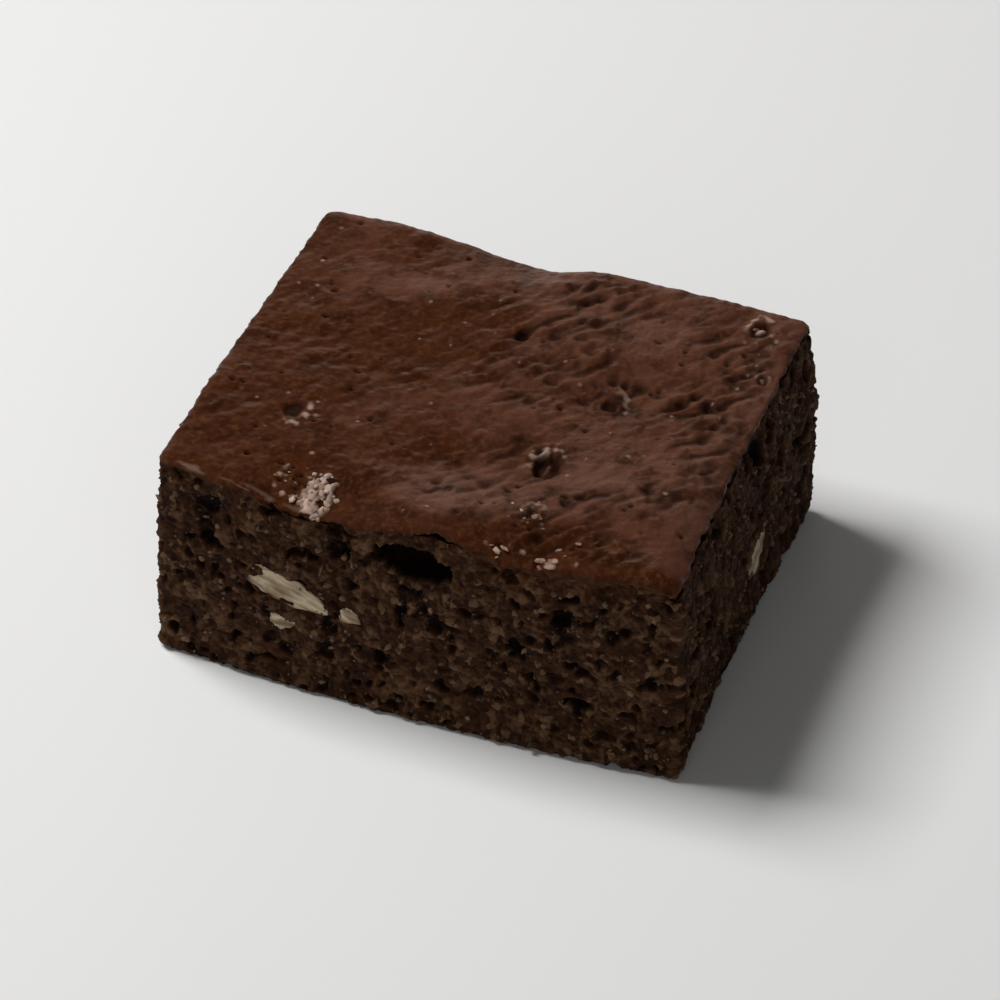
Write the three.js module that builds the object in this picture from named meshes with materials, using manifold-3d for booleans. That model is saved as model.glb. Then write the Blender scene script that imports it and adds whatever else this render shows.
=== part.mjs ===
// A knife-cut chocolate brownie with nut pieces: one block of crumb under a thin swollen crust.
// Millimetres, +Z up. The origin is the middle of the flat base, and the looked-at cut face is -Y.

import * as THREE from 'three';
import { mergeVertices } from 'three/addons/utils/BufferGeometryUtils.js';
import Module from 'manifold-3d';

// Driving dimensions: the block is laid out as a true box, then drawn to its hand-cut plan
const LENGTH = 74;
const WIDTH = 65;
const HEIGHT = 32;

// Corners of the plan, and how far the middle of each cut face bows out of it
const BACK_LEFT = [-39.5, 33.7];
const BACK_RIGHT = [33.2, 33.1];
const FRONT_RIGHT = [39.2, -33.4];
const FRONT_LEFT = [-38.1, -30.6];
const FRONT_BOW = 2.0;
const RIGHT_BOW = -0.6;
const BACK_BOW = 0.3;
const LEFT_BOW = 0.3;

// The mesh step over the block, and how far its cut edges are worn round
const FACET = 2.35;
const CORNER_RADIUS = 1.0;

// The crust stands out past the crumb below it, and the crumb spreads a little at the foot
const CRUST_LIP = 0.3;
const CRUST_THICK = 2.2;
const FOOT_SPREAD = 0.5;
const FOOT_HEIGHT = 7;

// Rough crumb on the cut faces, and fine wrinkles on the crust
const CRUMB_ROUGH = 0.4;
const CRUMB_GRAIN = 4.2;
const CRUST_ROUGH = 0.22;
const CRUST_GRAIN = 5.5;

// Broad swells and sunken places of the crust: centre, reach each way, turn in degrees and rise
const CRUST_SWELLS = [
  { x: -17, y: 18, along: 15, across: 11, turn: 20, rise: 1.0 },
  { x: 5, y: -27, along: 12, across: 6, turn: 5, rise: 1.1 },
  { x: 25, y: -18, along: 11, across: 9, turn: -30, rise: 0.9 },
  { x: -31, y: -8, along: 10, across: 12, turn: 0, rise: 0.4 },
  { x: 9, y: 16, along: 9, across: 8, turn: 40, rise: 0.5 },
  { x: -25, y: 32, along: 8, across: 6, turn: 0, rise: 0.9 },
  { x: -37, y: 32, along: 6, across: 6, turn: 0, rise: 0.8 },
  { x: 5, y: -15, along: 11, across: 6, turn: 14, rise: -1.2 },
  { x: 24, y: 7, along: 10, across: 9, turn: 25, rise: -0.8 },
  { x: -5, y: 33, along: 9, across: 6, turn: 0, rise: -1.5 },
  { x: 16, y: -34, along: 6.5, across: 6, turn: 0, rise: -2.0 },
  { x: -15, y: -34, along: 9, across: 7, turn: 0, rise: -2.4 },
];

// Blisters of the crust that have burst: centre, radius of the opening and depth of its pit
const BURST_BLISTERS = [
  { x: 12.8, y: -12, radius: 2.3, depth: 1.3 },
  { x: -14.5, y: -29, radius: 3.0, depth: 1.3 },
  { x: -23.5, y: -14, radius: 1.8, depth: 0.9 },
  { x: 0, y: 14, radius: 1.5, depth: 1.1 },
  { x: 16.5, y: 4, radius: 1.6, depth: 0.8 },
  { x: 14.5, y: -24, radius: 1.5, depth: 0.8 },
  { x: 31, y: 27, radius: 1.8, depth: 0.8 },
];

// Cut faces in turn: the way out of the block and the way along the face seen from outside, how far out
// and how long it is, how far it swells at half height, and over what reach the crust rolls to that side
// and how far it drops there, at the start and at the end of the face
const FACES = {
  front: {
    out: [0, -1], along: [1, 0], reach: WIDTH / 2, length: LENGTH,
    swell: 0.4, roll: 2.6, drop: [0.5, 0.8],
  },
  right: {
    out: [1, 0], along: [0, 1], reach: LENGTH / 2, length: WIDTH,
    swell: 1.4, roll: 4.5, drop: [1.8, 0.5],
  },
  back: {
    out: [0, 1], along: [-1, 0], reach: WIDTH / 2, length: LENGTH,
    swell: 0.8, roll: 2.2, drop: [0.4, 0.4],
  },
  left: {
    out: [-1, 0], along: [0, -1], reach: LENGTH / 2, length: WIDTH,
    swell: 0.7, roll: 2.6, drop: [0.5, 0.8],
  },
};

// Hollows seen in the front face: place along and up the face, half sizes, depth and tilt in degrees
const FRONT_HOLLOWS = [
  { along: 0.5, up: 26.2, half: [5.3, 2.7], depth: 4.6, tilt: -6 },
  { along: 21.2, up: 22.5, half: [2.0, 1.4], depth: 1.9, tilt: 60 },
  { along: 14.8, up: 16.4, half: [1.7, 1.2], depth: 1.7, tilt: -35 },
  { along: 23.5, up: 9.3, half: [1.8, 1.3], depth: 1.7, tilt: 10 },
  { along: -4, up: 9.5, half: [1.5, 1.1], depth: 1.5, tilt: 50 },
  { along: -29, up: 21, half: [1.6, 1.2], depth: 1.6, tilt: 0 },
];

// Pores of the other cut faces, one to a cell of this pitch, in a share of the cells
const PORE_SEED = 2718;
const PORE_PITCH = 9;
const PORE_SHARE = 0.55;
const PORE_SMALL = 0.9;
const PORE_LARGE = 2.4;
const PORE_JITTER = 0.75;
const PORE_STRETCH = 0.7;
const PORE_MARGIN = 4.5;
const PORE_LUMPS = 0.3;

// Nut pieces cut through by the knife: place on the face, half length, half height, half depth and tilt
const NUTS = [
  { name: 'nut_front', face: 'front', along: -17.5, up: 15.8, half: [6.2, 2.1, 3.0], tilt: -13 },
  { name: 'nut_front_low', face: 'front', along: -18.4, up: 10.6, half: [2.1, 1.2, 1.7], tilt: 8 },
  { name: 'nut_front_mid', face: 'front', along: -8.6, up: 14.6, half: [1.7, 1.1, 1.6], tilt: -20 },
  { name: 'nut_right', face: 'right', along: 6, up: 12.5, half: [4.2, 2.3, 2.8], tilt: 28 },
  { name: 'nut_back', face: 'back', along: 14, up: 9, half: [5.4, 1.9, 2.8], tilt: 16 },
  { name: 'nut_back_high', face: 'back', along: -19, up: 18, half: [3.4, 1.8, 2.4], tilt: -30 },
  { name: 'nut_left', face: 'left', along: -8, up: 8, half: [4.8, 2.0, 2.6], tilt: -9 },
];
const NUT_INSET = 0.2;
const NUT_LUMPS = 0.16;
const NUT_TAPER = 0.5;
const NUT_SINK = 1.0;
const NUT_GAP = 0.3;

const { Manifold, Mesh: SolidMesh } = await loadSolids();

async function loadSolids() {
  const wasm = await Module();
  wasm.setup();
  return wasm;
}

// Smooth noise from -1 to 1: random values on a unit lattice, blended by an S-curve
function latticeValue(i, j, k) {
  let h = Math.imul(i, 374761393) ^ Math.imul(j, 668265263) ^ Math.imul(k, 1274126177);
  h = Math.imul(h ^ (h >>> 13), 1103515245);
  return ((h ^ (h >>> 16)) >>> 0) / 2147483648 - 1;
}

function smoothNoise(x, y, z) {
  const [i, j, k] = [Math.floor(x), Math.floor(y), Math.floor(z)];
  const [u, v, w] = [x - i, y - j, z - k].map((t) => THREE.MathUtils.smoothstep(t, 0, 1));
  const { lerp } = THREE.MathUtils;
  const row = (dj, dk) => lerp(latticeValue(i, j + dj, k + dk), latticeValue(i + 1, j + dj, k + dk), u);
  const sheet = (dk) => lerp(row(0, dk), row(1, dk), v);
  return lerp(sheet(0), sheet(1), w);
}

// A generator of numbers from 0 to 1, the same on every run
function seededDraws(seed) {
  let state = seed;
  return () => {
    state = (Math.imul(1664525, state) + 1013904223) >>> 0;
    return state / 4294967296;
  };
}

// Height of the crust over a point: the mean height, the swells, the rolled edges and fine wrinkles
function crustHeight(x, y) {
  let z = HEIGHT;
  for (const swell of CRUST_SWELLS) {
    const turn = THREE.MathUtils.degToRad(swell.turn);
    const dx = x - swell.x;
    const dy = y - swell.y;
    const a = (dx * Math.cos(turn) + dy * Math.sin(turn)) / swell.along;
    const b = (dy * Math.cos(turn) - dx * Math.sin(turn)) / swell.across;
    z += swell.rise * Math.exp(-(a * a + b * b));
  }
  for (const { out, along, reach, length, roll, drop } of Object.values(FACES)) {
    const edge = reach - (x * out[0] + y * out[1]);
    const near = 1 - THREE.MathUtils.clamp(edge / roll, 0, 1);
    const run = (x * along[0] + y * along[1]) / length + 0.5;
    z -= THREE.MathUtils.lerp(drop[0], drop[1], run) * near * near;
  }
  return z + CRUST_ROUGH * smoothNoise(x / CRUST_GRAIN, y / CRUST_GRAIN, 0.5);
}

// The plan of the block has round corners: a point past an arc's centre is drawn in to the arc
function roundCorner(x, y) {
  const cx = LENGTH / 2 - CORNER_RADIUS;
  const cy = WIDTH / 2 - CORNER_RADIUS;
  const px = Math.abs(x) - cx;
  const py = Math.abs(y) - cy;
  if (px <= 0 || py <= 0) return [x, y];
  const shrink = Math.max(px, py) / Math.hypot(px, py);
  return [Math.sign(x) * (cx + px * shrink), Math.sign(y) * (cy + py * shrink)];
}

// How far a cut face stands out at a height: lip of the crust, spread foot, swell and rough crumb
function cutFaceOffset(face, x, y, z) {
  const swell = face.swell * Math.sin((Math.PI * z) / HEIGHT);
  const lip = CRUST_LIP * THREE.MathUtils.smoothstep(z, HEIGHT - 2 * CRUST_THICK, HEIGHT - CRUST_THICK / 2);
  const foot = FOOT_SPREAD * (1 - THREE.MathUtils.smoothstep(z, 0, FOOT_HEIGHT));
  const rough = CRUMB_ROUGH * smoothNoise(x / CRUMB_GRAIN, y / CRUMB_GRAIN, z / CRUMB_GRAIN);
  return swell + lip + foot + rough - CRUMB_ROUGH;
}

// The whole block: a finely divided box whose points are moved to the form of the brownie
function blockGeometry() {
  const steps = [LENGTH, WIDTH, HEIGHT].map((size) => Math.round(size / FACET));
  const box = new THREE.BoxGeometry(LENGTH, WIDTH, HEIGHT, ...steps);
  const points = box.getAttribute('position');
  for (let i = 0; i < points.count; i++) {
    const x = points.getX(i);
    const y = points.getY(i);
    const z = points.getZ(i) + HEIGHT / 2;
    let [px, py] = roundCorner(x, y);
    for (const face of Object.values(FACES)) {
      if (x * face.out[0] + y * face.out[1] < face.reach - 1e-3) continue;
      const offset = cutFaceOffset(face, x, y, z);
      px += face.out[0] * offset;
      py += face.out[1] * offset;
    }
    points.setXYZ(i, px, py, (z * crustHeight(x, y)) / HEIGHT);
  }
  return box;
}

// Draws a point of the box to the hand-cut plan: a blend of the four corners, plus the bow of each face
function planPoint(x, y) {
  const { lerp } = THREE.MathUtils;
  const u = x / LENGTH + 0.5;
  const v = y / WIDTH + 0.5;
  const blend = (axis) =>
    lerp(lerp(FRONT_LEFT[axis], FRONT_RIGHT[axis], u), lerp(BACK_LEFT[axis], BACK_RIGHT[axis], u), v);
  const bowX = (RIGHT_BOW * u - LEFT_BOW * (1 - u)) * 4 * v * (1 - v);
  const bowY = (BACK_BOW * v - FRONT_BOW * (1 - v)) * 4 * u * (1 - u);
  return [blend(0) + bowX, blend(1) + bowY];
}

// A closed geometry drawn to the plan as a solid, and a solid as a geometry
function toSolid(geometry) {
  const bare = geometry.clone();
  bare.deleteAttribute('normal');
  bare.deleteAttribute('uv');
  const points = bare.getAttribute('position');
  for (let i = 0; i < points.count; i++) {
    points.setXY(i, ...planPoint(points.getX(i), points.getY(i)));
  }
  const merged = mergeVertices(bare, 1e-3);
  return new Manifold(
    new SolidMesh({
      numProp: 3,
      vertProperties: new Float32Array(merged.getAttribute('position').array),
      triVerts: new Uint32Array(merged.getIndex().array),
    }),
  );
}

function toGeometry(solid) {
  const { vertProperties, triVerts } = solid.getMesh();
  const geometry = new THREE.BufferGeometry();
  geometry.setAttribute('position', new THREE.BufferAttribute(vertProperties, 3));
  geometry.setIndex(new THREE.BufferAttribute(triVerts, 1));
  geometry.computeVertexNormals();
  return geometry;
}

// Stands a shape made with X along a face, Y into it and Z up at its place on that face
function placeOnFace(geometry, faceName, along, up, tilt) {
  const face = FACES[faceName];
  const alongWay = new THREE.Vector3(face.along[0], face.along[1], 0);
  const inWay = new THREE.Vector3(-face.out[0], -face.out[1], 0);
  const place = new THREE.Matrix4().makeBasis(alongWay, inWay, new THREE.Vector3(0, 0, 1));
  const foot = alongWay.clone().multiplyScalar(along).addScaledVector(inWay, -face.reach);
  place.setPosition(foot.x, foot.y, up);
  geometry.rotateY(-THREE.MathUtils.degToRad(tilt));
  geometry.applyMatrix4(place);
  return geometry;
}

// A ball of unit radius drawn in and out by smooth noise, a different one for each seed.
// A ball that will be stretched past the size of a few facets gets more of them
function lumpyBall(halfLength, lumps, seed) {
  const ball = new THREE.IcosahedronGeometry(1, halfLength > 1.2 * FACET ? 2 : 1);
  const points = ball.getAttribute('position');
  const point = new THREE.Vector3();
  for (let i = 0; i < points.count; i++) {
    point.fromBufferAttribute(points, i);
    const swell = smoothNoise(point.x * 1.7 + seed, point.y * 1.7 + 2 * seed, point.z * 1.7);
    points.setXYZ(i, ...point.multiplyScalar(1 + lumps * swell));
  }
  return ball;
}

// A pore or hollow is a lumpy ellipsoid about the face, as deep as it is given
function poreSolid(faceName, pore) {
  const ball = lumpyBall(pore.half[0], PORE_LUMPS, pore.along + pore.up);
  ball.scale(pore.half[0], pore.depth, pore.half[1]);
  ball.translate(0, -faceSwell({ face: faceName, up: pore.up }), 0);
  return toSolid(placeOnFace(ball, faceName, pore.along, pore.up, pore.tilt));
}

// The pit of a burst blister is a flat ellipsoid about the crust
function blisterSolid(blister) {
  const ball = lumpyBall(blister.radius, PORE_LUMPS, blister.x + blister.y);
  ball.scale(blister.radius, blister.radius, blister.depth);
  ball.translate(blister.x, blister.y, crustHeight(blister.x, blister.y));
  return toSolid(ball);
}

// Pores of a face, one to a cell in a share of the cells, clear of its nuts and of the block's edges
function facePores(faceName, draw) {
  const { length } = FACES[faceName];
  const columns = Math.round(length / PORE_PITCH);
  const rows = Math.round(HEIGHT / PORE_PITCH);
  const pores = [];
  for (let cell = 0; cell < columns * rows; cell++) {
    const wanted = draw() < PORE_SHARE;
    const column = (cell % columns) + 0.5 + PORE_JITTER * (draw() - 0.5);
    const row = Math.floor(cell / columns) + 0.5 + PORE_JITTER * (draw() - 0.5);
    const radius = PORE_SMALL + (PORE_LARGE - PORE_SMALL) * draw() ** 3;
    const pore = {
      along: (column / columns - 0.5) * length,
      up: (row / rows) * HEIGHT,
      half: [radius * (1 + PORE_STRETCH * draw()), radius],
      depth: radius,
      tilt: 180 * draw(),
    };
    if (wanted && poreIsClear(faceName, pore)) pores.push(pore);
  }
  return pores;
}

function poreIsClear(faceName, pore) {
  const { length } = FACES[faceName];
  if (Math.abs(pore.along) > length / 2 - PORE_MARGIN) return false;
  if (pore.up < PORE_MARGIN || pore.up > HEIGHT - PORE_MARGIN) return false;
  return NUTS.filter((nut) => nut.face === faceName).every((nut) => {
    const apart = Math.hypot(pore.along - nut.along, pore.up - nut.up);
    return apart > nut.half[0] + pore.half[0];
  });
}

// A nut piece: a lumpy ellipsoid, thinner to one end, that the knife cut off just inside the face
function nutSolid(nut, gap) {
  const lump = lumpyBall(nut.half[0], NUT_LUMPS, nut.along + nut.up);
  const points = lump.getAttribute('position');
  for (let i = 0; i < points.count; i++) {
    points.setZ(i, points.getZ(i) * (1 - NUT_TAPER * points.getX(i)));
  }
  lump.scale(nut.half[0] + gap, nut.half[2] + gap, nut.half[1] + gap);
  lump.translate(0, NUT_SINK - faceSwell(nut), 0);
  const whole = toSolid(placeOnFace(lump, nut.face, nut.along, nut.up, nut.tilt));
  return gap > 0 ? whole : whole.intersect(insideKnifeCut(nut));
}

// How far the face swells out at a nut's or a pore's height
function faceSwell({ face, up }) {
  return FACES[face].swell * Math.sin((Math.PI * up) / HEIGHT);
}

// Everything behind the knife's cut at a nut, as a deep slab that ends a little inside the swollen face
function insideKnifeCut(nut) {
  const { reach, length } = FACES[nut.face];
  const proud = faceSwell(nut) - NUT_INSET;
  const slab = new THREE.BoxGeometry(length, reach + proud, 2 * HEIGHT, Math.round(length / FACET));
  slab.translate(0, (reach - proud) / 2, 0);
  return toSolid(placeOnFace(slab, nut.face, 0, HEIGHT / 2, 0));
}

// The block less its hollows, its pores and the sockets of the nuts. Loose scraps are dropped
function brownieSolid() {
  const draw = seededDraws(PORE_SEED);
  const cuts = FRONT_HOLLOWS.map((hollow) => poreSolid('front', hollow));
  for (const faceName of ['right', 'back', 'left']) {
    cuts.push(...facePores(faceName, draw).map((pore) => poreSolid(faceName, pore)));
  }
  cuts.push(...BURST_BLISTERS.map(blisterSolid));
  cuts.push(...NUTS.map((nut) => nutSolid(nut, NUT_GAP)));
  let block = toSolid(blockGeometry());
  for (const cut of cuts) block = block.subtract(cut);
  return block.decompose().reduce((most, body) => (body.volume() > most.volume() ? body : most));
}

// Scene: one mesh for the block and one for each nut piece, each with its own material
const CRUMB_LOOK = { color: 0x462a1e, roughness: 0.6, metalness: 0 };
const NUT_LOOK = { color: 0xa8926f, roughness: 0.6, metalness: 0 };

function namedMesh(name, solid, look) {
  const mesh = new THREE.Mesh(toGeometry(solid), new THREE.MeshStandardMaterial(look));
  mesh.name = name;
  return mesh;
}

const brownie = new THREE.Group();
brownie.add(namedMesh('brownie', brownieSolid(), CRUMB_LOOK));
for (const nut of NUTS) brownie.add(namedMesh(nut.name, nutSolid(nut, 0), NUT_LOOK));

export default brownie;
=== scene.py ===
"""A chocolate brownie: torn crumb, a thin swollen crust and cut nuts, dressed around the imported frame."""

import math

import bpy
import numpy as np
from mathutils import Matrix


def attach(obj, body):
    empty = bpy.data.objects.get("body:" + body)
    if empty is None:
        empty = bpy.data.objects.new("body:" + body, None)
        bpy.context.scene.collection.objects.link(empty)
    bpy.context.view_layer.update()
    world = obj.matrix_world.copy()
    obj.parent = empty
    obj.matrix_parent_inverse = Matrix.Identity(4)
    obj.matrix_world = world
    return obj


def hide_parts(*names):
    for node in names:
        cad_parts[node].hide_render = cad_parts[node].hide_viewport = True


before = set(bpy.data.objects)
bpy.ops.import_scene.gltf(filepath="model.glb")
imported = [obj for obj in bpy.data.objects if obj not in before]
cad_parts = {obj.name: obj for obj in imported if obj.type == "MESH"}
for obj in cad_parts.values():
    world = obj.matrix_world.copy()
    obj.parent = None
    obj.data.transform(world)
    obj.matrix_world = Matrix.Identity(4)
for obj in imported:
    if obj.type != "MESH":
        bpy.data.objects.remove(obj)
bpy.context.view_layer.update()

# Driving dimensions in millimetres: the block is laid out as a true box, then drawn to its hand-cut plan
MM = 0.001
LENGTH = 74.0
WIDTH = 65.0
HEIGHT = 32.0
CORNER_RADIUS = 1.0
BACK_LEFT = (-39.5, 33.7)
BACK_RIGHT = (33.2, 33.1)
FRONT_RIGHT = (39.2, -33.4)
FRONT_LEFT = (-38.1, -30.6)
FRONT_BOW = 2.0
RIGHT_BOW = -0.6
BACK_BOW = 0.3
LEFT_BOW = 0.3

# Cut faces: the way out of the block, the swell at half height, and over what reach the crust rolls to that
# side and drops there, from the face's start to its end. The way along a face is a quarter turn on
FACES = {
    "front": dict(out=(0, -1), swell=0.4, roll=2.6, drop=(0.5, 0.8)),
    "right": dict(out=(1, 0), swell=1.4, roll=4.5, drop=(1.8, 0.5)),
    "back": dict(out=(0, 1), swell=0.8, roll=2.2, drop=(0.4, 0.4)),
    "left": dict(out=(-1, 0), swell=0.7, roll=2.6, drop=(0.5, 0.8)),
}
for cut in FACES.values():
    across, deep = cut["out"]
    cut["along"] = (-deep, across)
    cut["length"] = WIDTH if across else LENGTH
    cut["reach"] = (LENGTH if across else WIDTH) / 2

# Crust: how far its top stands in from the cut, the round of its edge, the slope where that starts, its lap
# down the face, more at the front right, its tuck behind, and the height of its flat floor
CRUST_IN = 0.4
EDGE_ROUND = (0.3, 0.8)
EDGE_SLOPE = math.radians(30)
LAP_DOWN = (0.2, 1.4)
LAP_FRONT_RIGHT = 1.6
TUCK_IN = (0.5, 1.4)
CRUST_FLOOR = HEIGHT - 4.2

# Crumb: how rough the cut is, the pitch of its lumps and grains, its spread at the foot, its rounded lowest
# edge, how far it ends under the crust's top, and the height of its flat cap
CRUMB_ROUGH = 0.4
CRUMB_GRAIN = 4.2
LUMP_PITCH = 2.1
GRAIN_PITCH = 0.95
FOOT_SPREAD = 0.5
FOOT_HEIGHT = 7.0
FOOT_ROUND = 0.6
UNDER_CRUST = 0.6
CRUMB_CAP = HEIGHT - 4

# Mesh steps: the crumb round its rim and up its height, the crust each way, the rings of its edge and lap,
# and a nut along and round its long axis
CRUMB_COLUMNS = 1720
CRUMB_ROWS = 196
CRUST_ACROSS = 296
CRUST_DEEP = 260
EDGE_RINGS = 5
LAP_RINGS = 9
NUT_STEPS = (64, 96)

# Shares of the outline at the rings that close the crumb's base, its cap and the crust's floor, and factors
# that lay points level
BASE_RINGS = np.array([0.1, 0.5, 0.8, 0.95])[:, None, None]
CAP_RINGS = np.array([0.97, 0.7, 0.1])[:, None, None]
FLOOR_RINGS = np.array([0.9, 0.5, 0.1])[:, None, None]
LEVEL = np.array([1, 1, 0])

# Broad swells and sunken places of the crust: x, y, reach along and across, turn in degrees, rise
CRUST_SWELLS = (
    (-17, 18, 15, 11, 20, 1.0),
    (5, -27, 12, 6, 5, 1.1),
    (25, -18, 11, 9, -30, 0.9),
    (-31, -8, 10, 12, 0, 0.4),
    (9, 16, 9, 8, 40, 0.5),
    (-25, 32, 8, 6, 0, 0.9),
    (-37, 32, 6, 6, 0, 0.8),
    (5, -15, 11, 6, 14, -1.2),
    (24, 7, 10, 9, 25, -0.8),
    (-5, 33, 9, 6, 0, -1.5),
    (16, -34, 6.5, 6, 0, -2.0),
    (-15, -34, 9, 7, 0, -2.4),
)

# Burst blisters of the crust: x, y, radius of the rim, its paleness as a painted glint, the side where it
# lifts in degrees, the pit's share of that radius, its depth, and the height and painted glint of the dome
# left in it. Painted shade darkens the pit.
BURST_BLISTERS = (
    (12.8, -12, 2.3, 0.50, 120, 0.95, 1.1, 0.05, 0.12),
    (-23.5, -14, 2.1, 0.60, -30, 0.7, 0.35, 0, 0),
    (0, 14, 1.4, 0.05, 90, 0.8, 0.8, 0, 0),
    (16.5, 4, 2.2, 0.25, 45, 0.55, 0.6, 0, 0),
    (14.5, -24, 1.5, 0.35, 90, 0.7, 0.5, 0, 0),
    (31, 27, 2.0, 0.60, 110, 0.8, 0.4, 0.1, 0.7),
    (34.6, 16.8, 1.0, 0.50, 90, 0.7, 0.2, 0.15, 0.8),
)
BLISTER_STRETCH = 1.4

# Part of the front edge where the crust bends down: its x, and its reach along the edge and in from it
BEND_X = 22
BEND_ALONG = 12
BEND_IN = 7

# Patch of pale bubbles that runs to the front edge: middle and half sizes
FOAM_PATCH = (-14.2, -28.8, 2.5, 5.0)

# Fold that parts the smooth left of the skin, its colour warm without painted sheen, from the cobbled right,
# whose colour carries painted sheen: its x, rise and half width
FOLD_X = -2.0
FOLD_RISE = 0.5
FOLD_HALF = 4.5

# Wrinkles of the right: the way they run in degrees, and their grain along and across
WRINKLE_TURN = 50
WRINKLE_GRAIN = (6.0, 1.7, 1.0)

# Dimples and pebbles of the skin: their pitch, and the stretch of the plan that lengthens them in depth
DIMPLE_PITCH = 2.3
PEBBLE_PITCH = 1.5
PLAN_STRETCH = np.array([1, 0.8, 1])

# Painted sheen: paler, greyer colour on the crust's crests and back-facing slopes that stands in for the
# sheen of light from behind, and warmer, unsheened places where the share is below zero: x, y, reach along
# and across, turn in degrees, share
CRUST_PAINTED_SHEEN = (
    (-19, 18, 12, 4.5, 34, 0.8),
    (-31, 28, 7, 5, 0, 0.8),
    (4, -23.5, 10, 6, 8, 1.2),
    (21, -13, 9, 6, -30, 0.7),
    (14, 22, 16, 9, 0, 0.3),
    (-12, -8, 7, 5, 20, 0.5),
    (-9, -22, 6, 4, 10, -0.6),
    (-25, 0, 8, 6, -20, -0.4),
    (-2, 18, 3, 5, 0, -0.8),
    # Painted light over the shade where the crust rolls down at the right edge
    (35, 0, 4, 26, 0, 0.6),
)

# Small features strewn over the crust: kind, how many, least and greatest radius, centre, spread each way
STREWN = (
    ("dome", 40, 0.7, 1.9, (0, 0), (70, 61)),
    ("hole", 60, 0.3, 0.7, (0, 0), (70, 61)),
    ("hole", 16, 0.3, 0.8, (-18.0, -28.0), (7, 6)),
    ("speck", 50, 0.2, 0.5, (0, 0), (70, 61)),
    ("speck", 18, 0.2, 0.6, (-17.0, -28.0), (8, 7)),
    ("speck", 8, 0.2, 0.5, (14.5, -24.5), (6, 5)),
    ("speck", 9, 0.2, 0.5, (16.0, -30.8), (14, 2.4)),
    ("speck", 10, 0.2, 0.5, (33.0, 20.0), (3, 14)),
    ("hole", 9, 0.25, 0.6, (15.0, -28.0), (12, 9)),
)
STREWN_SEED = 7

# Each kind's rise and what a draw adds to it, its pit's painted shade, and its paleness as a painted glint
# and what the draw adds to that
STREWN_KINDS = {
    "dome": (0.10, 0.22, 0, 0.06, 0),
    "hole": (-0.45, 0, 0.9, 0, 0),
    "speck": (0.10, 0, 0, 0.2, 0.4),
}

# Hollows of the front face: along, up, half sizes, depth, tilt in degrees
FRONT_HOLLOWS = (
    (0.5, 26.2, 5.3, 2.7, 4.6, -6),
    (21.2, 22.5, 2.0, 1.4, 1.9, 60),
    (14.8, 16.4, 1.7, 1.2, 1.7, -35),
    (23.5, 9.3, 1.8, 1.3, 1.7, 10),
    (-4, 9.5, 1.5, 1.1, 1.5, 50),
    (-29, 21, 1.6, 1.2, 1.6, 0),
)

# Larger pores of the other cut faces, drawn by the same rule as the part's
PORE_SEED = 2718
PORE_PITCH = 9
PORE_SHARE = 0.55
PORE_SMALL = 0.9
PORE_LARGE = 2.4
PORE_JITTER = 0.75
PORE_STRETCH = 0.7
PORE_MARGIN = 4.5

# Finer pores, strewn over every cut face
FINE_SEED = 41
FINE_PORES = 70
FINE_SMALL = 0.35
FINE_LARGE = 1.3

# Nut pieces: place on the face, half length, half height, half depth and tilt in degrees. Then how far in the
# cut lies, the taper, how far in a piece's middle lies, and how deep the crumb is behind it
NUTS = {
    "nut_front": dict(face="front", along=-17.5, up=15.8, half=(6.2, 2.1, 3.0), tilt=-13),
    "nut_front_low": dict(face="front", along=-18.4, up=10.6, half=(2.1, 1.2, 1.7), tilt=8),
    "nut_front_mid": dict(face="front", along=-8.6, up=14.6, half=(1.7, 1.1, 1.6), tilt=-20),
    "nut_right": dict(face="right", along=6, up=12.5, half=(4.2, 2.3, 2.8), tilt=28),
    "nut_back": dict(face="back", along=14, up=9, half=(5.4, 1.9, 2.8), tilt=16),
    "nut_back_high": dict(face="back", along=-19, up=18, half=(3.4, 1.8, 2.4), tilt=-30),
    "nut_left": dict(face="left", along=-8, up=8, half=(4.8, 2.0, 2.6), tilt=-9),
}
NUT_INSET = 0.2
NUT_TAPER = 0.5
NUT_SINK = 1.0
SOCKET_DEPTH = 1.3

# Least share of a normal along a face's way out where a point counts as that face's
FACING = 0.9

# Loose pieces: seeds and numbers of the crumbs, bubbles and flakes, and the flakes' nests by x, y and reach
CRUMBS_SEED = 17
CRUMBS = 1400
BUBBLES_SEED = 29
BUBBLES = 26
FLAKES_SEED = 23
FLAKES = 26
FLAKE_NESTS = np.array(
    [(-18, -28.5, 2.6), (14.5, -24.5, 2.2), (12, -31, 1.8), (20, -31, 2.0), (31.5, 27, 1.6)]
)

# Tint of the warm sheen, and the point in metres that the lights and the camera look at
WARM_SHEEN = (1.0, 0.70, 0.55)
LOOK_AT = np.array([0, 0, 0.0145])

# Slopes of the noise at the corners of its lattice
GRADIENTS = np.array(
    [np.insert((a, b), axis, 0) for axis in (2, 1, 0) for a in (-1, 1) for b in (-1, 1)], dtype=float
)


# Noise

def lattice_hash(cell, seed):
    """A whole number under 2**32 for each cell: its place times odd numbers, then shifts and products."""
    h = cell[..., 0] * 374761393 + cell[..., 1] * 668265263 + cell[..., 2] * 1274126177
    h = (h + seed * 974634777) & 0xFFFFFFFF
    h = ((h ^ (h >> 13)) * 1103515245) & 0xFFFFFFFF
    h = ((h ^ (h >> 16)) * 695872825) & 0xFFFFFFFF
    return h ^ (h >> 15)


def noise(spot, grain, seed):
    """Gradient noise, about -1 to 1: each corner's slope times the way from it, on a quintic blend."""
    place = spot / np.asarray(grain, dtype=float)
    cell = np.floor(place).astype(np.int64)
    part = place - cell
    blend = part**3 * (part * (part * 6 - 15) + 10)
    total = np.zeros(spot.shape[:-1])
    for corner in np.ndindex(2, 2, 2):
        step = np.array(corner)
        slope = GRADIENTS[lattice_hash(cell + step, seed) % len(GRADIENTS)]
        weight = np.prod(np.where(step == 1, blend, 1 - blend), axis=-1)
        total += weight * np.sum(slope * (part - step), axis=-1)
    return total


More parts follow.
